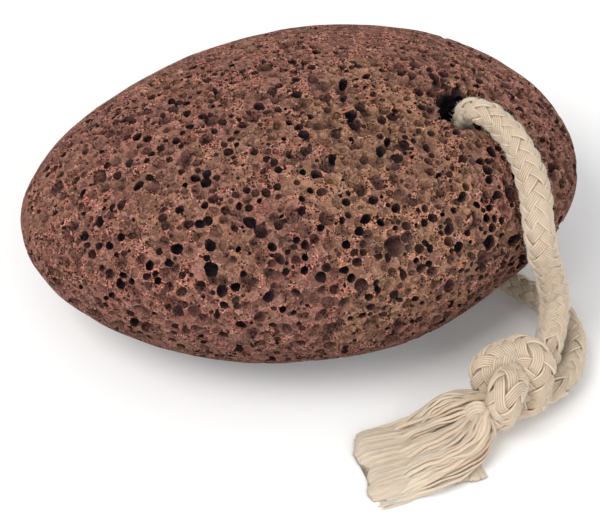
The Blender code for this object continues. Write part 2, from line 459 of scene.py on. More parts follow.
knot_skin = Skin()
knot_fuzz_skin = Skin()
for seed, route in ((21, FRONT_LEG_IN_KNOT), (22, BACK_LEG_IN_KNOT)):
    line = smooth_line(np.array(route) * MM, STEP)
    run = distance_along(line)
    across = np.interp(
        run,
        [0, 0.002, 0.006, run[-1] - 0.006, run[-1]],
        [CORD_DIAMETER * 0.93, CORD_DIAMETER * 0.9, KNOT_CORD, KNOT_CORD, KNOT_CORD * 0.8],
    )
    line[:, 2] = np.maximum(line[:, 2], across / 2)
    braid(knot_skin, line, across, KNOT_LAY, seed)
    fuzz_on_line(knot_fuzz_skin, line, across, HAIRS_IN_KNOT, seed + 10)
knot = knot_skin.make("knot_braid", cord_cotton)
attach(knot, "root")
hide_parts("knot")
knot_fuzz = knot_fuzz_skin.make("knot_fuzz", cord_cotton)
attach(knot_fuzz, "root")


# ---- Tassel -----------------------------------------------------------------
# Past the knot the braid is undone: loose twisted yarns leave it in hanks, loop
# a little, fan out over the table and end in a soft, felted, uneven fringe.
YARN_THICK = 0.00060
YARN_SIDES = 7
HAIRS_ON_YARN = 14
YARN_HAIR = (0.0004, 0.0011, 0.00002)
FELT_HAIR = (0.0002, 0.0006, 0.00002)
YARNS_IN_WRAP = 5
WRAP_YARN_THICK = 0.00074
# Each hank, in mm: how many yarns, how far they spread, where its middle runs.
HANKS = [
    (10, 1.15, [
        (28.9, -38.7, 5.6), (27.1, -38.9, 6.2), (24.3, -39, 6.2), (21.8, -38.4, 5.4),
        (19.2, -38.4, 4.4), (16.8, -39.1, 3.4), (13.6, -40.2, 2.6), (9, -40.4, 1.7), (4.7, -39.9, 1),
    ]),
    (12, 1.25, [
        (29, -40.1, 6.2), (26.8, -40.4, 6.8), (24.3, -40.6, 6.6), (21.1, -40.8, 5.8), (18.2, -41, 4.6),
        (14.4, -41.6, 3.4), (9.5, -41.9, 2.2), (3.7, -41.8, 1),
    ]),
    (12, 1.25, [
        (29.1, -41.3, 6.6), (26.7, -41.9, 7), (24, -42.3, 6.6), (20.4, -42.8, 5.4), (16.2, -43.3, 4.2),
        (11.2, -43.9, 3), (6.8, -44.2, 2), (2.9, -43.8, 1),
    ]),
    (12, 1.20, [
        (29.1, -41.7, 6), (26.4, -42.5, 6.2), (23.4, -43.8, 5.8), (20, -45.4, 5.2), (16.1, -46.1, 4.2),
        (10.5, -46.4, 2.8), (6.7, -46.3, 1.9), (3.1, -45.8, 1),
    ]),
    (10, 1.10, [
        (28.5, -41.6, 6.6), (27, -43, 7.6), (25.8, -44.5, 8), (25.4, -46, 7), (24.5, -47.5, 6),
        (22.7, -48.7, 5), (19.7, -49.3, 4.4), (16.2, -49.4, 3.8), (11.6, -50, 2.8), (7.7, -51, 1.8),
        (4.4, -51.7, 1),
    ]),
    (12, 1.20, [
        (29.1, -41.9, 5.2), (26.9, -43.4, 5), (24.9, -45.5, 4.6), (22.1, -47.8, 4.2),
        (17.7, -49.1, 3.6), (12.3, -49.9, 2.6), (8, -50.9, 1.8), (4.2, -51.3, 1),
    ]),
    (12, 1.20, [
        (29.4, -42, 4.4), (27.4, -43.8, 4.2), (25.7, -46.1, 3.8), (23.2, -48.6, 3.6),
        (18.9, -50.4, 2.9), (13.1, -51.9, 2), (8.4, -52.8, 1.4), (3.9, -53.2, 0.9),
    ]),
    (12, 1.10, [
        (29.7, -42, 3.4), (28, -43.6, 3.2), (26.3, -45.9, 2.9), (24.7, -48.3, 2.6), (22, -50.5, 2.3),
        (17.9, -52.3, 1.8), (12.8, -53.4, 1.4), (7.9, -54.2, 1.1), (4.1, -54.3, 0.8),
    ]),
    (12, 1.30, [
        (29.4, -39, 3.6), (27.1, -39.9, 3.4), (22.9, -41.7, 3.2), (17.2, -44, 2.6), (11.1, -45.2, 1.9),
        (3.4, -44.9, 0.9),
    ]),
    (12, 1.30, [
        (29.5, -40.5, 3.2), (26.6, -42.5, 2.9), (22.2, -45.5, 2.6), (16.9, -47.9, 2.1),
        (10.6, -50, 1.5), (4.4, -52, 0.8),
    ]),
    (10, 1.20, [
        (29.4, -38.7, 4.4), (26.9, -39, 4), (22.8, -39.9, 3.6), (18, -41.3, 2.9), (12.2, -42.5, 2.1),
        (4.6, -41.6, 0.9),
    ]),
    (10, 1.10, [
        (29.9, -40.4, 2.4), (27.3, -42.8, 2), (25, -45.8, 1.8), (21.4, -48.4, 1.6), (17.2, -50.5, 1.3),
        (11.6, -52.3, 1), (4.5, -53.6, 0.7),
    ]),
    (12, 1.40, [
        (29.7, -37.3, 2.4), (26.9, -39.4, 2.2), (22.7, -42.6, 2.1), (18.1, -45.3, 1.9),
        (12.1, -47.2, 1.5), (4.4, -47.3, 0.8),
    ]),
    (12, 1.30, [
        (29.5, -38.7, 2), (26.5, -41.5, 1.6), (22.2, -43.9, 1.5), (16.4, -44.6, 1.3),
        (10.9, -43.9, 1.1), (4.1, -43, 0.8),
    ]),
    (9, 1.00, [
        (29.2, -38.4, 4.6), (26.3, -38.1, 5), (23.1, -37.1, 4.8), (20.5, -36.8, 4), (18.3, -37.6, 3.2),
        (17, -39.2, 2.6), (13.9, -40.6, 2.2), (9.9, -41.3, 1.6), (5.8, -41, 1),
    ]),
    (9, 0.95, [
        (26.9, -41.8, 6), (24, -44.4, 6), (21.6, -46, 5.6), (20.1, -46.8, 5), (17.9, -47.8, 4.4),
        (14.3, -48.2, 3.6), (10.1, -48.6, 2.6), (6.3, -48.4, 1.4),
    ]),
    (11, 0.95, [
        (25.2, -44.1, 8.2), (24.4, -45.7, 7.6), (23.3, -47.2, 6.6), (22.1, -48.3, 5.8),
        (20, -49.1, 5.2), (17.2, -49.5, 4.6), (13.7, -49.9, 3.8), (10.1, -50.6, 2.8),
        (7.3, -51.2, 1.8),
    ]),
    (11, 1.00, [
        (24.7, -38.6, 6), (22.2, -38.7, 6.6), (20, -39.2, 6.8), (18.3, -39.7, 6.2), (17.1, -40, 5.2),
        (16, -40.6, 4.2), (14.1, -41.4, 3.2), (11.2, -41.9, 2.4), (8.5, -41.6, 1.4),
    ]),
]
# Hanks that cross over the others where they leave the knot, in mm: the route
# of the first yarn and the way to the next.
WRAPS = [
    ([
        (22.4, -42.1, 4), (22.6, -42, 6.2), (23.4, -42, 8), (24.6, -42.3, 9.2), (25.9, -42.8, 9),
        (26.8, -43, 7.2), (27.2, -43.5, 4.6),
    ], (0.08, -0.52, -0.26)),
    ([
        (26.8, -40.1, 7), (27.1, -42.8, 8.4), (27.4, -44, 8), (27.6, -44.3, 6), (27.5, -44, 3.6),
    ], (0.52, 0.06, -0.04)),
]
# Matted cotton, in mm: the two sides of each mass, its height along the way, how
# far its ragged end reaches past that from front to back, and the number of its
# ribs and its length.
FELT_MASSES = [
    (
        [
            (28.7, -35.8), (25.4, -36), (22.7, -35.4), (20, -36.1), (17.2, -37.6), (14.8, -39.1),
            (11.3, -39.7), (7.8, -39.5), (5, -39.2),
        ],
        [
            (30.3, -40.5), (27.6, -43.6), (25.6, -45.8), (23, -48.2), (19.3, -50.5), (15.1, -52),
            (10.9, -53.2), (7.8, -54), (4.8, -54.1),
        ],
        [4.2, 5.2, 5.4, 4.9, 4.4, 4.0, 3.7, 3.5, 2.4],
        [-0.2, 0.6, 0.0, 0.2, -0.4, 1.2, 1.8, 1.4, 1.0, 0.2],
        30,
        26,
    ),
    (
        [(21.5, -47.8), (20.9, -49.4), (20.4, -50.8), (20.1, -51.8), (19.7, -52.4)],
        [(25, -45.6), (24.9, -47.6), (24.8, -49.4), (25.1, -50.7), (25.5, -51.6)],
        [2.2, 1.9, 1.4, 1.0, 0.6],
        [0.0, 0.2, 0.4, 0.0, -0.2, 0.0],
        7,
        6,
    ),
]
tassel_cotton = cotton("loose_cotton_yarn", (0.690, 0.575, 0.448), (0.56, 0.37, 0.235), 0.55, 0.9)


def round_yarn(skin, line, thick, flat, felted, dice):
    """One twisted yarn along a line; flat squashes it towards the table."""
    along, side, up = carried_axes(line)
    turn = np.arange(YARN_SIDES) * 2 * np.pi / YARN_SIDES + dice.uniform(0, 1)
    out = ways_out(turn, side[:, None], up[:, None])
    rings = line[:, None] + (thick / 2)[:, None, None] * out
    rings[..., 2] = line[:, None, 2] + (rings[..., 2] - line[:, None, 2]) * flat[:, None]
    rings[..., 2] = np.maximum(rings[..., 2], 0.00002)
    skin.add(
        rings,
        (distance_along(line) * 1000 + dice.uniform(0, 50))[:, None],
        np.arange(YARN_SIDES) * 0.3,
        felted[:, None],
        dice.uniform(0, 1),
    )
    return along, side, up


dice = np.random.default_rng(31)
tassel_skin = Skin()
tassel_fuzz_skin = Skin()


def lay_hank(yarns, spread, route):
    """Yarns wound loosely round one another, opened out and felted at the end."""
    middle = smooth_line(route, 0.0005)
    along, side, up = carried_axes(middle)
    level = unit(np.cross(along, (0.0, 0.0, 1.0)))
    rise = np.cross(level, along)
    share_along = distance_along(middle)
    share_along = share_along / share_along[-1]
    twist = dice.uniform(-1.6, 1.6)
    bulk = dice.choice([0.85, 1.0, 1.4])
    for k in range(yarns):
        last = max(9, int(len(middle) * (1 - dice.uniform(0.03, 0.16))))
        t = share_along[:last]
        seat = 2 * np.pi * k / (yarns - 1) + dice.uniform(-0.3, 0.3)
        far = dice.uniform(0.0, 0.5) if k % 3 == 2 else dice.uniform(0.75, 1.05)
        turn = seat + twist * 2.2 * t
        wide = spread * np.interp(t, [0, 0.25, 0.7, 1], [0.55, 0.85, 1.05, 1.45])
        tall = spread * np.interp(t, [0, 0.25, 0.7, 1], [0.55, 0.75, 0.55, 0.25])
        wave = dice.uniform(0, 6.3, 3)
        sway = 0.00015 * np.sin(t * 14 + wave[0]) + 0.00009 * np.sin(t * 37 + wave[1])
        lift = 0.00014 * np.sin(t * 17 + wave[2])
        line = (
            middle[:last]
            + (far * wide * np.cos(turn) + sway)[:, None] * level[:last]
            + (far * tall * np.sin(turn) + lift)[:, None] * rise[:last]
        )
        end = t / t[-1]
        plump = np.interp(end, [0, 0.60, 0.85, 0.97, 1], [1, 1, 1.3, 1.1, 0.4])
        thick = YARN_THICK * bulk * dice.uniform(0.80, 1.20) * plump
        flat = np.interp(end, [0, 0.7, 1], [1, 0.8, 0.4])
        # How pale each yarn is painted: paler towards its felted end, and darker and warmer near the
        # knot as painted shade where the hanks lie over one another.
        felted = np.interp(end, [0, 0.50, 0.90], [0.45, 0.55, 1.0]) + dice.uniform(-0.2, 0.15)
        line[:, 2] -= np.interp(end, [0.65, 0.95], [0.0, 0.0016])
        line[:, 2] = np.maximum(line[:, 2], thick / 2 * flat)
        along_yarn, side_yarn, up_yarn = round_yarn(tassel_skin, line, thick, flat, felted, dice)
        at = dice.integers(4, len(line) - 1, HAIRS_ON_YARN)
        out = ways_out(dice.uniform(0, 2 * np.pi, HAIRS_ON_YARN), side_yarn[at], up_yarn[at])
        stray_fibres(tassel_fuzz_skin, line[at], out, along_yarn[at], dice, *YARN_HAIR)


for yarns, spread, route in HANKS:
    lay_hank(yarns, spread * MM, np.array(route) * MM)
for route, step in WRAPS:
    for k in range(YARNS_IN_WRAP):
        line = smooth_line(np.array(route) * MM, 0.0004) + k * np.array(step) * MM
        even = np.ones(len(line))
        round_yarn(tassel_skin, line, WRAP_YARN_THICK * even, even, 0.55 * even, dice)
tassel = tassel_skin.make("tassel_yarns", tassel_cotton)
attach(tassel, "root")
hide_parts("tassel")
tassel_fringe = tassel_fuzz_skin.make("tassel_fringe", tassel_cotton)
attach(tassel_fringe, "root")


def felt_mass(skin, fuzz, back, front, high, end, ribbed, length):
    """A matted mass between two sides, ribbed along its yarns, ragged at its end."""
    steps = 60
    at = np.linspace(0, 1, steps)
    edges = []
    for side in (back, front):
        line = smooth_line([(x * MM, y * MM, 0) for x, y in side], 0.0001)
        own = np.linspace(0, 1, len(line))
        edges.append(np.column_stack([np.interp(at, own, line[:, k]) for k in (0, 1)]))
    back, front = edges
    tall = np.interp(at, np.linspace(0, 1, len(high)), high) * MM
    ahead = unit(np.gradient(back + front, axis=0))
    over = np.linspace(0, 1, 91)
    under = over[-2:0:-1]
    on_top = len(over)
    ragged = np.interp(over, np.linspace(0, 1, len(end)), end) * MM
    ragged = ragged + 0.00045 * np.array([noise.noise((v * 23, 3.0, 0.0)) for v in over])
    arch = np.clip(1 - np.abs(2 * over - 1) ** 4, 0, 1) ** 0.5 * (0.60 + 0.40 * over)
    round_it = np.concatenate([over, under])
    rings = np.full((steps, len(round_it), 3), 0.00002)
    raised = np.zeros((steps, len(round_it)))
    for k in range(steps):
        reach = ragged * np.interp(at[k], [0.75, 1.0], [0, 1])
        wide_ribs = [noise.noise((v * ribbed, at[k] * 2.0, 1.0)) for v in over]
        thin_ribs = [noise.noise((v * ribbed * 2.7, at[k] * 4, 5.0)) for v in over]
        ribs = np.array(wide_ribs) + 0.5 * np.array(thin_ribs)
        rings[k, :, :2] = front[k] + (back[k] - front[k]) * round_it[:, None]
        rings[k, :, :2] += np.interp(round_it, over, reach)[:, None] * ahead[k]
        rings[k, :on_top, 2] = 0.00012 + tall[k] * arch * (1 + 0.22 * ribs)
        # Painted shade: darker and warmer near the knot under the hanks and in the hollows between the
        # ribs, paler towards the ragged end.
        raised[k, :on_top] = np.interp(at[k], [0, 0.50, 0.75], [0.20, 0.45, 0.95]) + 0.45 * ribs
    rings[-4:, :on_top, 2] *= np.array([0.95, 0.82, 0.58, 0.22])[:, None]
    around = np.where(np.arange(len(round_it)) < on_top, round_it * ribbed * 2, 0)
    skin.add(rings, at[:, None] * length, around, raised, 0)
    # Loose fibres that lie along it and stick out of its end.
    count = int(ribbed * 50)
    step = np.minimum(steps - 1, (steps * dice.uniform(0.50, 1.0, count)).astype(int))
    step[:count // 4] = steps - 1
    roots = rings[step, dice.integers(3, on_top - 3, count)]
    ways = np.column_stack([ahead[step], np.zeros(count)])
    stray_fibres(fuzz, roots, ways * 4 + [0, 0, 0.6], ways, dice, *FELT_HAIR)


felt_skin = Skin()
felt_fuzz_skin = Skin()
for mass in FELT_MASSES:
    felt_mass(felt_skin, felt_fuzz_skin, *mass)
tassel_felt = felt_skin.make("tassel_felt", tassel_cotton)
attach(tassel_felt, "root")
felt_fuzz = felt_fuzz_skin.make("felt_fuzz", tassel_cotton)
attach(felt_fuzz, "root")

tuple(CORD_ROUTE[0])


# ---- Stone ------------------------------------------------------------------
# A block of red vesicular lava ground to a rounded foot stone, with a hole
# drilled near one end. The grinding cuts open the gas bubbles all over it.
# Bubbles by size: radius in mm, how many, and how deep the middle lies, in radii
# below the ground surface (less than 0 leaves a shallow dish).
BUBBLES = [
    (2.60, 150, -0.94, -0.74),
    (1.90, 320, -0.92, -0.60),
    (1.40, 520, -0.88, -0.25),
    (1.00, 800, -0.75, 0.45),
    (0.78, 1000, -0.55, 0.60),
    (0.58, 1300, -0.45, 0.60),
    (0.42, 1400, -0.20, 0.50),
]
# Bubbles that the drill broke into at the mouth of the hole: middle and radius,
# in metres.
MOUTH_BUBBLES = [
    ((0.0256, 0.0020, 0.0383), 0.0015), ((0.0284, 0.0040, 0.0380), 0.0013),
    ((0.0315, 0.0026, 0.0376), 0.0012),
]
# The drilled hole, in mm: its middle high up and low down, its radius, and how
# far the rock of its mouth stands in, all round and most on one side.
HOLE_HIGH = (28.3, 1.4, 45.0)
HOLE_LOW = (31.8, -3.9, -5.0)
HOLE_RADIUS = 4.6
STANDS_IN_ROUND = 0.4
STANDS_IN_MOST = 1.9
STANDS_IN_WAY = math.radians(42)


def hole_middle(z):
    """Where the middle of the hole is at a height, in mm."""
    down = (HOLE_HIGH[2] - z) / (HOLE_HIGH[2] - HOLE_LOW[2])
    return tuple(HOLE_HIGH[k] + (HOLE_LOW[k] - HOLE_HIGH[k]) * down for k in (0, 1))


ground = bmesh.new()
ground.from_mesh(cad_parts["stone"].data)
bmesh.ops.remove_doubles(ground, verts=ground.verts, dist=0.00001)
bmesh.ops.subdivide_edges(ground, edges=ground.edges, cuts=1, use_grid_fill=True)
for _ in range(3):
    bmesh.ops.smooth_vert(
        ground, verts=ground.verts, factor=0.5, use_axis_x=True, use_axis_y=True, use_axis_z=True
    )
ground.normal_update()
# The ground surface isn't quite even.
for vert in ground.verts:
    swell = 0.30 * noise.noise(vert.co * 60) + 0.12 * noise.noise(vert.co * 210)
    vert.co += vert.normal * swell * MM
# The rock stands in at the mouth of the hole.
for vert in ground.verts:
    x, y, z = vert.co / MM
    middle_x, middle_y = hole_middle(z)
    off = math.hypot(x - middle_x, y - middle_y)
    if off > HOLE_RADIUS + 4 or z < 20:
        continue
    facing = math.cos(math.atan2(y - middle_y, x - middle_x) - STANDS_IN_WAY)
    inward = STANDS_IN_ROUND + STANDS_IN_MOST * max(0.0, facing)
    inward *= min(1.0, (z - 20) / 8) * (1 - min(1.0, max(0.0, (off - HOLE_RADIUS) / 4))) ** 1.5
    vert.co.x -= (x - middle_x) / off * inward * MM
    vert.co.y -= (y - middle_y) / off * inward * MM
bmesh.ops.triangulate(ground, faces=ground.faces)
skin_tree = BVHTree.FromBMesh(ground)
stone_mesh = bpy.data.meshes.new("pumice")
ground.to_mesh(stone_mesh)

dice = np.random.default_rng(7)
areas = np.array([face.calc_area() for face in ground.faces])
share = np.cumsum(areas) / areas.sum()
ground_faces = list(ground.faces)


def spot_on_stone():
    """A random point of the ground surface and the way out of it."""
    face = ground_faces[int(np.searchsorted(share, dice.random()))]
    a, b, c = (v.co for v in face.verts)
    u, v = dice.random(2)
    if u + v > 1:
        u, v = 1 - u, 1 - v
    return a + (b - a) * u + (c - a) * v, face.normal.copy()


# How near bubbles lie, in sums of their radii: at all, and in one cutter. Then
# the share set beside another, and by least radius in mm, a bubble's sides.
LEAST_SPACING = 0.82
SPACING_IN_SET = 1.2
SHARE_BESIDE = 0.55
BUBBLE_SIDES = [(1.2, 12, 8), (0.6, 9, 5), (0.0, 7, 4)]
MOST_TRIANGLES = 196000
CELL = 5.5 * MM
bubbles = []
closed = []
filed = {}


def cell_of(point):
    """The cell of the search grid that a point is in."""
    return tuple(int(math.floor(x / CELL)) for x in point)


def crowded(point, radius, spacing, members):
    """Whether a bubble there would be too near one already placed."""
    home = cell_of(point)
    for dx in (-1, 0, 1):
        for dy in (-1, 0, 1):
            for dz in (-1, 0, 1):
                for k in members.get((home[0] + dx, home[1] + dy, home[2] + dz), ()):
                    other, other_radius, _ = bubbles[k]
                    if (other - point).length < spacing * (radius + other_radius):
                        return True
    return False


def coarseness(point):
    """The bubbles are finer at the left end and along the back of the top."""
    left = min(1.0, max(0.0, (point.x + 0.052) / 0.036))
    back = min(1.0, max(0.0, (0.020 - point.y) / 0.018))
    return 0.60 + 0.18 * left + 0.26 * back + 0.22 * noise.noise(point * 70)


def beside(radius):
    """A place against a bubble already there, with a thin wall between the two."""
    near, near_radius, outward = bubbles[int(dice.integers(len(bubbles)))]
    way = outward.cross(Vector(dice.normal(size=3)))
    found = skin_tree.find_nearest(near + way.normalized() * (near_radius + radius) * 1.02)
    return found[0], found[1]


for middle, radius in MOUTH_BUBBLES:
    filed.setdefault(cell_of(Vector(middle)), []).append(len(bubbles))
    bubbles.append((Vector(middle), radius, Vector((0, 0, 1))))
    closed.append(1.0)
for size, wanted, low, high in BUBBLES:
    made = 0
    for _ in range(wanted * 25):
        if made == wanted:
            break
        if dice.random() < SHARE_BESIDE:
            spot, outward = beside(size * MM)
        else:
            spot, outward = spot_on_stone()
        coarse = coarseness(spot)
        if outward.z < -0.5 and dice.random() < 0.5:
            continue
        if size > 0.7 and coarse < 0.92 and dice.random() < 5 * (0.92 - coarse):
            continue
        radius = size * MM * float(dice.uniform(0.84, 1.16)) * coarse
        below = float(dice.uniform(low, high))
        middle = spot - outward * radius * below
        if crowded(middle, radius, LEAST_SPACING, filed):
            continue
        filed.setdefault(cell_of(middle), []).append(len(bubbles))
        bubbles.append((middle, radius, outward))
        closed.append(min(1.0, max(0.0, (below - 0.02) / 0.42)))
        made += 1
ground.free()

# Sets of bubbles that don't touch, so that each set is one clean cutter.
sets = []
for k in sorted(range(len(bubbles)), key=lambda n: -bubbles[n][1]):
    middle, radius, outward = bubbles[k]
    for members in sets:
        if not crowded(middle, radius, SPACING_IN_SET, members):
            break
    else:
        members = {}
        sets.append(members)
    members.setdefault(cell_of(middle), []).append(k)

stone = bpy.data.objects.new("pumice", stone_mesh)
scene.collection.objects.link(stone)
stone_mesh.attributes.new("bubble", "INT", "FACE")


def settle(modifier):
    """Gives the stone the shape that its modifier makes, and removes that."""
    ready = stone.evaluated_get(bpy.context.evaluated_depsgraph_get())
    opened = bpy.data.meshes.new_from_object(ready)
    stone.modifiers.remove(modifier)
    stone.data = opened


def bubble_cutter(members):
    """One mesh of all the bubbles of a set, each a little out of round."""
    whole = bmesh.new()
    whole.faces.layers.int.new("bubble")
    for start in range(0, len(members), 40):
        batch = bmesh.new()
        mark = batch.faces.layers.int.new("bubble")
        for k in members[start:start + 40]:
            middle, radius, outward = bubbles[k]
            sides, rows = next(row[1:] for row in BUBBLE_SIDES if radius > row[0] * MM)
            upright = outward.to_track_quat("Z", "Y").to_matrix().to_4x4()
            spun = Matrix.Rotation(dice.uniform(0, 6.28), 4, "Z")
            stretch = Matrix.Diagonal((*dice.uniform(0.78, 1.20, 3), 1))
            made = bmesh.ops.create_uvsphere(
                batch,
                u_segments=sides,
                v_segments=rows,
                radius=radius,
                matrix=Matrix.Translation(middle) @ upright @ spun @ stretch,
            )["verts"]
            for vert in made:
                vert.co += (vert.co - middle) * 0.42 * noise.noise(vert.co * 700)
                for face in vert.link_faces:
                    face[mark] = k + 1
        part = bpy.data.meshes.new("bubbles")
        batch.to_mesh(part)
        batch.free()
        whole.from_mesh(part)
        bpy.data.meshes.remove(part)
    mesh = bpy.data.meshes.new("bubbles")
    whole.to_mesh(mesh)
    whole.free()
    holder = bpy.data.objects.new("bubbles", mesh)
    scene.collection.objects.link(holder)
    return holder


for members in sets:
    cutter = bubble_cutter([k for keys in members.values() for k in keys])
    cut = stone.modifiers.new("cut", "BOOLEAN")
    cut.operation = "DIFFERENCE"
    cut.solver = "MANIFOLD"
    cut.object = cutter
    settle(cut)
    bpy.data.objects.remove(cutter)

# The finest edges go, so that the piece stays light.
stone.data.calc_loop_triangles()
thin = stone.modifiers.new("thin", "DECIMATE")
thin.ratio = min(1.0, MOST_TRIANGLES / len(stone.data.loop_triangles))
settle(thin)

# What the lava material reads: how deep a point lies under the ground surface,
# the tone of its bubble, whether it is in a bubble at all, and how much painted
# shade its bubble gets from how closed its mouth is.
stone_mesh = stone.data
stone_mesh.name = "pumice"
face_bubble = np.zeros(len(stone_mesh.polygons), dtype=np.int32)
stone_mesh.attributes["bubble"].data.foreach_get("value", face_bubble)
corner_vertex = np.zeros(len(stone_mesh.loops), dtype=np.int32)
stone_mesh.loops.foreach_get("vertex_index", corner_vertex)
depth = np.array([skin_tree.find_nearest(vert.co)[3] for vert in stone_mesh.vertices]) / MM
tones = np.concatenate([[0.5], dice.uniform(0, 1, len(bubbles))])
painted_shade = np.concatenate([[0.0], closed])
totals = np.zeros(len(stone_mesh.polygons), dtype=np.int32)
stone_mesh.polygons.foreach_get("loop_total", totals)
corner_bubble = np.repeat(face_bubble, totals)
hollow = np.zeros((len(corner_vertex), 4), dtype=np.float32)
hollow[:, 0] = np.where(corner_bubble > 0, depth[corner_vertex], 0)
hollow[:, 1] = tones[corner_bubble]
hollow[:, 2] = corner_bubble > 0
hollow[:, 3] = painted_shade[corner_bubble]
# The wall of the drilled hole counts as the inside of a deep bubble, painted near black as the shade
# inside it.
spots = np.zeros(len(stone_mesh.vertices) * 3)
stone_mesh.vertices.foreach_get("co", spots)
spots = spots.reshape(-1, 3) / MM
axis_x, axis_y = hole_middle(spots[:, 2])
off_axis = np.hypot(spots[:, 0] - axis_x, spots[:, 1] - axis_y)


def mouth_height(start, way):
    """The height of the plane of the hole's mouth over each vertex, in mm."""
    rim = []
    for turn in np.linspace(0, 2 * math.pi, 12, endpoint=False):
        x, y = hole_middle(start * 0.4)
        x, y = x + 7.5 * math.cos(turn), y + 7.5 * math.sin(turn)
        rim.append(skin_tree.ray_cast(Vector((x, y, start)) * MM, Vector((0, 0, way)))[0] / MM)
    rim = np.array(rim)
    flat = np.linalg.lstsq(np.column_stack([rim[:, :2], np.ones(12)]), rim[:, 2], rcond=None)[0]
    return spots[:, 0] * flat[0] + spots[:, 1] * flat[1] + flat[2]


inside = np.minimum(mouth_height(100.0, -1) - spots[:, 2], spots[:, 2] - mouth_height(-10.0, 1))
bored = (off_axis < 4.75) & (inside > 0.1) | (off_axis < 6.5) & (inside > 1.2)
bored = bored[corner_vertex]
hollow[bored, 0] = np.maximum(hollow[bored, 0], inside[corner_vertex][bored])
hollow[bored, 2:] = 1
layer = stone_mesh.attributes.new("hollow", "FLOAT_COLOR", "CORNER")
layer.data.foreach_set("color", hollow.ravel())
stone_mesh.attributes.remove(stone_mesh.attributes["bubble"])

# Crisp rims: an edge is sharp where two different surfaces meet.
edge_of_corner = np.zeros(len(stone_mesh.loops), dtype=np.int32)
stone_mesh.loops.foreach_get("edge_index", edge_of_corner)
lowest = np.full(len(stone_mesh.edges), len(bubbles) + 9)
highest = np.full(len(stone_mesh.edges), -1)
np.minimum.at(lowest, edge_of_corner, corner_bubble)
np.maximum.at(highest, edge_of_corner, corner_bubble)
stone_mesh.polygons.foreach_set("use_smooth", [True] * len(stone_mesh.polygons))
sharp = stone_mesh.attributes.new("sharp_edge", "BOOLEAN", "EDGE")
sharp.data.foreach_set("value", lowest != highest)
stone_mesh.update()


# Its colours: tones of the worn dishes and bubble walls, pink brown and in khaki
# patches, then the grit between the bubbles, the rims with their painted
# highlights, the marks on them, and painted shade deep in the bubbles, in the pits
# and on the underside.
DISH_TONES = [
    (0.00, (0.330, 0.140, 0.096)), (0.16, (0.380, 0.190, 0.136)), (0.30, (0.165, 0.073, 0.059)),
    (0.44, (0.300, 0.124, 0.090)), (0.58, (0.105, 0.048, 0.042)), (0.70, (0.260, 0.127, 0.087)),
    (0.84, (0.360, 0.162, 0.120)), (1.00, (0.205, 0.090, 0.068)),
]
KHAKI_TONES = [
    (0.00, (0.390, 0.200, 0.114)), (0.16, (0.290, 0.158, 0.090)), (0.30, (0.155, 0.080, 0.062)),
    (0.44, (0.350, 0.190, 0.110)), (0.58, (0.115, 0.056, 0.048)), (0.70, (0.450, 0.250, 0.150)),
    (0.84, (0.240, 0.116, 0.084)), (1.00, (0.270, 0.146, 0.084)),
]
GRIT_TONES = [
    (0.30, (0.215, 0.073, 0.056)), (0.50, (0.350, 0.134, 0.097)), (0.70, (0.450, 0.200, 0.150)),
]
KHAKI_GRIT = (0.380, 0.190, 0.108)
DISH_RIM_PAINTED_HIGHLIGHT = (0.440, 0.225, 0.168)
BUBBLE_LIP_PAINTED_HIGHLIGHT = (0.420, 0.218, 0.165)
WALL_PAINTED_SHADE = (0.080, 0.038, 0.032)
WALL_PAINTED_DEEPEST_SHADE = (0.014, 0.011, 0.016)
PIT_PAINTED_SHADE = (0.036, 0.010, 0.009)
PAINTED_GLINT = (0.760, 0.450, 0.370)
UNDERSIDE_PAINTED_SHADE = (0.052, 0.022, 0.018)
# Worn dishes in three sizes: cells to the metre, smallest and largest radius in
# cells, and the share of the cells that hold one.
DISHES = [(300, 0.30, 0.66, 0.70), (520, 0.30, 0.64, 0.70), (900, 0.30, 0.60, 0.65)]
# The middle of the khaki patch on the top, in metres.
KHAKI_MIDDLE = (0.016, -0.014, 0.036)


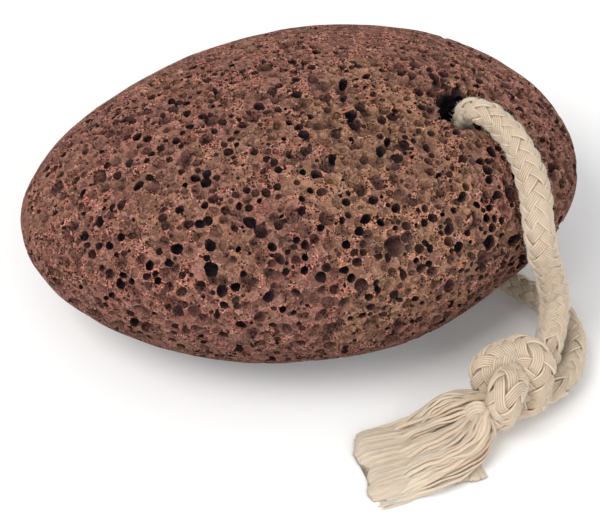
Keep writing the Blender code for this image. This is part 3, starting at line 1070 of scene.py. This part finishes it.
def lava():
    """Red lava: pink brown and grainy where ground, olive in the bubbles, painted near black with
    shade deep down.
    """
    material = bpy.data.materials.new("red_vesicular_lava")
    material.use_nodes = True
    add, reckon = node_makers(material.node_tree)
    where = add("TexCoord", {}).outputs["Object"]
    marks = add("Attribute", {}, attribute_name="hollow").outputs
    depth_below, tone, in_bubble = add("SeparateColor", {"Color": marks["Color"]}).outputs

    def speckle(scale, detail, rough=0.5):
        inputs = {"Vector": where, "Scale": scale, "Detail": detail, "Roughness": rough}
        return add("TexNoise", inputs).outputs["Fac"]

    def ramp(value, stops):
        node = add("ValToRGB", {"Fac": value})
        row = node.color_ramp.elements
        row[0].position, row[0].color = stops[0][0], (*stops[0][1], 1)
        row[1].position, row[1].color = stops[-1][0], (*stops[-1][1], 1)
        for position, tint in stops[1:-1]:
            row.new(position).color = (*tint, 1)
        return node.outputs["Color"]

    def between(value, low, high, start=0.0, end=1.0):
        inputs = {"Value": value, "From Min": low, "From Max": high, "To Min": start, "To Max": end}
        return add("MapRange", inputs).outputs[0]

    def blend(amount, first, second, kind="MIX"):
        first, second = ((*v, 1) if isinstance(v, tuple) else v for v in (first, second))
        inputs = {"Factor": amount, "A": first, "B": second}
        return add("Mix", inputs, data_type="RGBA", blend_type=kind).outputs["Result"]

    def cells(scale, smallest, largest):
        """How far out in its cell a point is, against a drawn size, and two more draws."""
        found = add("TexVoronoi", {"Vector": where, "Scale": scale}).outputs
        size_draw, share_draw, tone_draw = add("SeparateColor", {"Color": found["Color"]}).outputs
        size = between(size_draw, 0.0, 1.0, smallest, largest)
        return reckon("DIVIDE", found["Distance"], size), share_draw, tone_draw

    def specks(scale, smallest, largest, share):
        """Round specks of mixed size; share is how many of the cells hold one."""
        out, share_draw, _ = cells(scale, smallest, largest)
        kept = reckon("LESS_THAN", share_draw, share)
        return reckon("MULTIPLY", between(out, 0.7, 1.0, 1.0, 0.0), kept)

    def worn_bubbles(scale, smallest, largest, share):
        """Round shallow dishes: a mask, how far out from the middle, and a tone."""
        out, share_draw, own = cells(scale, smallest, largest)
        out = reckon("MINIMUM", out, 1.0)
        kept = reckon("LESS_THAN", share_draw, share)
        return reckon("MULTIPLY", between(out, 0.90, 0.99, 1.0, 0.0), kept), out, own

    def hollowed(mask, out):
        """The height of a dish: a shallow part of a ball."""
        bowl = reckon("POWER", reckon("SUBTRACT", 1.0, reckon("MULTIPLY", out, out)), 0.5)
        return reckon("MULTIPLY", bowl, mask)

    def times(colour, value):
        grey = add("CombineColor", {"Red": value, "Green": value, "Blue": value})
        return blend(1.0, colour, grey.outputs["Color"], "MULTIPLY")

    fine = speckle(3200, 3, 0.75)
    to_middle = add("VectorMath", {0: where, 1: KHAKI_MIDDLE}, operation="DISTANCE")
    near = between(to_middle.outputs["Value"], 0.010, 0.038, 0.30, 0.0)
    khaki = between(reckon("ADD", speckle(75, 3), near), 0.55, 0.75)

    # Walls between the bubbles: pink brown, gritty.
    skin = blend(reckon("MULTIPLY", khaki, 0.6), ramp(speckle(330, 3), GRIT_TONES), KHAKI_GRIT)
    skin = times(skin, between(fine, 0.32, 0.68, 0.12, 1.95))

    # Bubbles worn almost away, in three sizes, each a smooth dish of its own tone, painted darker
    # towards its middle as shade and with a pale painted highlight round its rim.
    relief = dish_anywhere = 0.0
    for sizes in DISHES:
        mask, out, own = worn_bubbles(*sizes)
        dish = blend(khaki, ramp(own, DISH_TONES), ramp(own, KHAKI_TONES))
        dish = times(dish, between(out, 0.0, 1.0, 0.64, 1.18))
        dish = times(dish, between(fine, 0.32, 0.68, 0.55, 1.48))
        dish = blend(between(out, 0.80, 0.93, 0.0, 0.50), dish, DISH_RIM_PAINTED_HIGHLIGHT)
        skin = blend(mask, skin, dish)
        relief = reckon("ADD", relief, hollowed(mask, out))
        dish_anywhere = reckon("MAXIMUM", dish_anywhere, mask)

    # Bubble walls: brown with a grey or olive bloom when shallow, painted near black with shade deeper
    # down.
    wall = blend(khaki, ramp(tone, DISH_TONES), ramp(tone, KHAKI_TONES))
    wall = times(wall, between(fine, 0.32, 0.68, 0.60, 1.55))
    shade_depth = reckon("ADD", depth_below, reckon("MULTIPLY", marks["Alpha"], 0.80))
    wall = blend(between(shade_depth, 0.20, 1.00, 0.0, 0.80), wall, WALL_PAINTED_SHADE)
    wall = blend(between(shade_depth, 0.85, 1.90), wall, WALL_PAINTED_DEEPEST_SHADE)
    colour = blend(in_bubble, skin, wall)
    # Painted highlight: a pale band just inside each bubble's mouth.
    lip_highlight = reckon("MULTIPLY", between(depth_below, 0.04, 0.30, 0.85, 0.0), in_bubble)
    colour = blend(lip_highlight, colour, BUBBLE_LIP_PAINTED_HIGHLIGHT)

    # Pits, painted dark red to black as the shade inside them, and painted glints on grains, most of
    # them on the gritty walls.
    gritty = between(dish_anywhere, 0.0, 1.0, 1.0, 0.22)
    pit = reckon("MAXIMUM", specks(2300, 0.22, 0.58, 0.85), specks(1250, 0.16, 0.46, 0.70))
    pit = reckon("MULTIPLY", pit, gritty)
    colour = blend(reckon("MULTIPLY", pit, 0.94), colour, PIT_PAINTED_SHADE)
    shallow = between(depth_below, 0.05, 0.40, 1.0, 0.0)
    glint = reckon("MULTIPLY", specks(2700, 0.20, 0.46, 0.60), reckon("MULTIPLY", shallow, gritty))
    glint = reckon("MULTIPLY", glint, between(speckle(600, 2), 0.44, 0.54))
    colour = blend(glint, colour, PAINTED_GLINT)
    # Painted shade: the stone darkens towards its bottom, near the table.
    up = add("SeparateXYZ", {0: where}).outputs["Z"]
    colour = blend(between(up, 0.004, 0.030, 0.72, 0.0), colour, UNDERSIDE_PAINTED_SHADE)

    # Relief of the worn bubbles, the grit and the pits.
    height = reckon("SUBTRACT", reckon("MULTIPLY", fine, 0.35), reckon("MULTIPLY", relief, 0.9))
    height = reckon("SUBTRACT", height, reckon("MULTIPLY", pit, 0.35))
    raised = add("Bump", {"Height": height, "Strength": 1.0, "Distance": 0.0009})
    fill(material.node_tree.nodes["Principled BSDF"], {
        "Base Color": colour,
        "Roughness": between(fine, 0.3, 0.7, 0.95, 0.70),
        "Specular IOR Level": 0.08,
        "Normal": raised.outputs["Normal"],
    })
    return material


stone_mesh.materials.clear()
stone_mesh.materials.append(lava())
stone_mesh.polygons.foreach_set("material_index", [0] * len(stone_mesh.polygons))
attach(stone, "root")
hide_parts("stone")

low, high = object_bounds()
{"cad": [list(cad_low), list(cad_high)], "visual": [list(low), list(high)]}
